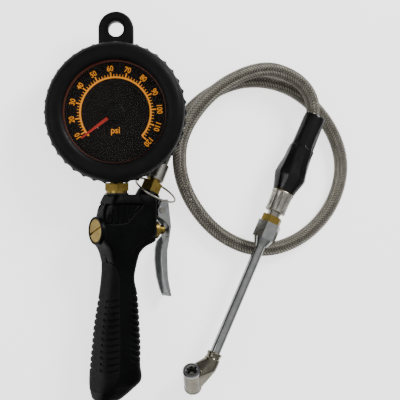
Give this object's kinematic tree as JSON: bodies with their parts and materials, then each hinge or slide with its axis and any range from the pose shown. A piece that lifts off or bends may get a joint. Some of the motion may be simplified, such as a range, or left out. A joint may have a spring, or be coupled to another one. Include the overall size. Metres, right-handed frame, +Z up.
{
  "type": "tyre inflator with gauge",
  "caption": "Hand tyre inflator: round boxed dial gauge with hanging eye on a lever valve handle, braided hose in a loop, straight tube and dual-foot air chuck.",
  "frame": {"origin": "centre of the air inlet's mouth in the butt of the handle; the table that the tool lies on is 23.16 mm below it", "axes": "+Z up from the table, +Y along the tool from the inlet to the gauge, +X towards the hose"},
  "size_m": [0.25, 0.2911, 0.0585],
  "materials": {
    "boot_rubber": "grainy moulded rubber",
    "case_steel": "satin",
    "lens_clear": "clear",
    "seal_rubber": "matt",
    "lit_ring": "translucent, lit from behind",
    "dial_black": "matt print",
    "pointer_red": "matt",
    "cap_black": "satin",
    "brass": "machined",
    "board_green": "solder mask",
    "lamp": "moulded",
    "bright_steel": "bright",
    "handle_plastic": "fine spark texture",
    "grip_rubber": "matt, soft",
    "poppet_rubber": "matt",
    "lever_zinc": "zinc plated",
    "braid": "woven wire braid",
    "sleeve_black": "shrunk tube",
    "chrome": "polished",
    "chuck_nickel": "nickel plated casting"
  },
  "bodies": {
    "root": {"gauge_boot": "boot_rubber", "gauge_case": "case_steel", "bezel_ring": "case_steel", "movement_plates": "case_steel", "case_screws": "case_steel", "inlet_bushing": "case_steel", "lens": "lens_clear", "lens_gasket": "seal_rubber", "adapter_washer": "seal_rubber", "plug_oring": "seal_rubber", "plunger_oring": "seal_rubber", "mouth_seal_top": "seal_rubber", "mouth_seal_bottom": "seal_rubber", "light_ring": "lit_ring", "dial_plate": "dial_black", "battery_door": "cap_black", "movement_link": "brass", "bourdon_tube": "brass", "gauge_stem": "brass", "gauge_adapter": "brass", "valve_plug": "brass", "valve_seat": "brass", "plunger_gland": "brass", "hose_fitting": "brass", "hose_nut": "brass", "hose_coupling": "brass", "backlight_board": "board_green", "backlight_leds": "lamp", "stop_pin": "bright_steel", "coin_cell": "bright_steel", "valve_spring": "bright_steel", "lever_pin": "bright_steel", "inlet_filter": "bright_steel", "gun_ferrule": "bright_steel", "hose_stem": "bright_steel", "chuck_ferrule": "bright_steel", "pin_spring_top": "bright_steel", "pin_spring_bottom": "bright_steel", "handle_body": "handle_plastic", "grip_overmould": "grip_rubber", "hose": "braid", "bend_sleeve": "sleeve_black", "chuck_adapter": "chrome", "chuck_tube": "chrome", "mouth_ring_top": "chrome", "mouth_ring_bottom": "chrome", "chuck_arm": "chuck_nickel", "chuck_foot": "chuck_nickel"},
    "lever": {"trigger_lever": "lever_zinc"},
    "valve": {"plunger": "brass", "valve_poppet": "poppet_rubber"},
    "pointer": {"pointer": "pointer_red", "pointer_cap": "cap_black", "pointer_arbor": "brass"},
    "sector": {"sector_gear": "brass"},
    "button": {"light_button": "cap_black"},
    "pin_top": {"valve_pin_top": "bright_steel"},
    "pin_bottom": {"valve_pin_bottom": "bright_steel"},
    "ring": {"split_ring": "bright_steel"}
  },
  "joints": [
    {"name": "lever_squeeze", "type": "hinge", "parent": "root", "child": "lever", "pos_m": [0.04343, 0.1424, -0.01453], "axis": [-0.3173, 0, -0.9483], "range_deg": [0, 10], "stiffness_Nm_per_rad": 0.8, "springref_deg": -2.86},
    {"name": "valve_slide", "type": "slide", "parent": "root", "child": "valve", "axis": [-0.9483, 0, 0.3173], "range_m": [0, 0.0028], "deforming": ["valve_spring"]},
    {"name": "pointer_turn", "type": "hinge", "parent": "root", "child": "pointer", "pos_m": [0.00468, 0.2145, 0.0106], "axis": [0.2756, 0, -0.9613], "range_deg": [0, 261], "stiffness_Nm_per_rad": 0.0002, "springref_deg": -17.19},
    {"name": "sector_turn", "type": "hinge", "parent": "root", "child": "sector", "pos_m": [0.00652, 0.19, 0.00416], "axis": [0.2756, 0, -0.9613], "range_deg": [-43.6, 0.1]},
    {"name": "light_button_press", "type": "slide", "parent": "root", "child": "button", "axis": [-0.2756, 0, 0.9613], "range_m": [0, 0.001], "stiffness_N_per_m": 300, "springref_m": -0.001},
    {"name": "top_pin_press", "type": "slide", "parent": "root", "child": "pin_top", "axis": [0.2462, -0.6552, -0.7142], "range_m": [0, 0.0015], "stiffness_N_per_m": 300, "springref_m": -0.001, "deforming": ["pin_spring_top"]},
    {"name": "bottom_pin_press", "type": "slide", "parent": "root", "child": "pin_bottom", "axis": [-0.2462, 0.6552, 0.7142], "range_m": [0, 0.0015], "stiffness_N_per_m": 300, "springref_m": -0.001, "deforming": ["pin_spring_bottom"]},
    {"name": "split_ring_turn", "type": "hinge", "parent": "root", "child": "ring", "pos_m": [0.03925, 0.1576, -0.00623], "axis": [0.3901, 0.8373, 0.3831], "continuous": true}
  ],
  "couplings": [
    {"joint": "valve_slide", "follows": "lever_squeeze", "m_per_rad": 0.0158},
    {"joint": "sector_turn", "follows": "pointer_turn", "ratio": -0.16667}
  ]
}
